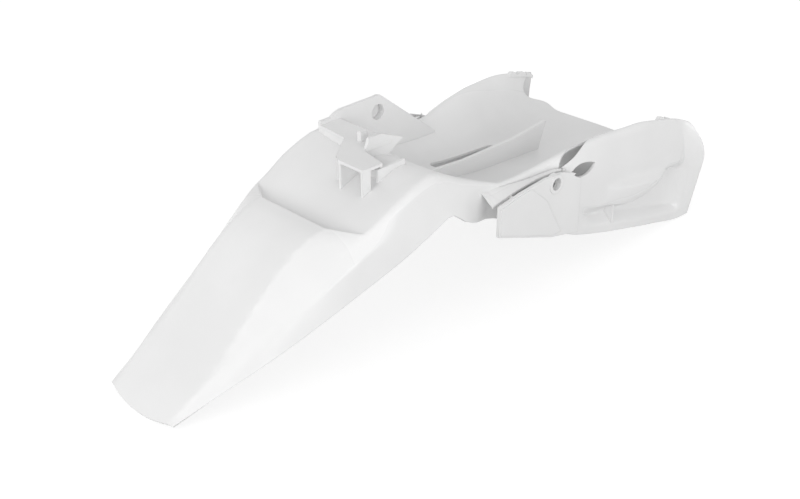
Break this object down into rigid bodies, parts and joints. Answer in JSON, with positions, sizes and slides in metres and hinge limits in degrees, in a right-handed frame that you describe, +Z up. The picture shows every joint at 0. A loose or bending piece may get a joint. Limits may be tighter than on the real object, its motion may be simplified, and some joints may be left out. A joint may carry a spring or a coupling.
{
  "type": "motorcycle rear fender",
  "caption": "One-piece moulded rear fender of a small off-road motorcycle, with drooping tail, seat deck, trough with spine, upright ear and number-plate side panels.",
  "frame": {"origin": "on the ground under the middle of the fender's box, as it rests on its tail tip and the toes of its side panels", "axes": "+X forward along the motorcycle, +Y to its left, +Z up"},
  "size_m": [0.736, 0.2618, 0.1963],
  "materials": {
    "white_plastic": "glossy moulded white"
  },
  "bodies": {
    "root": {"rear_fender": "white_plastic"}
  },
  "joints": []
}
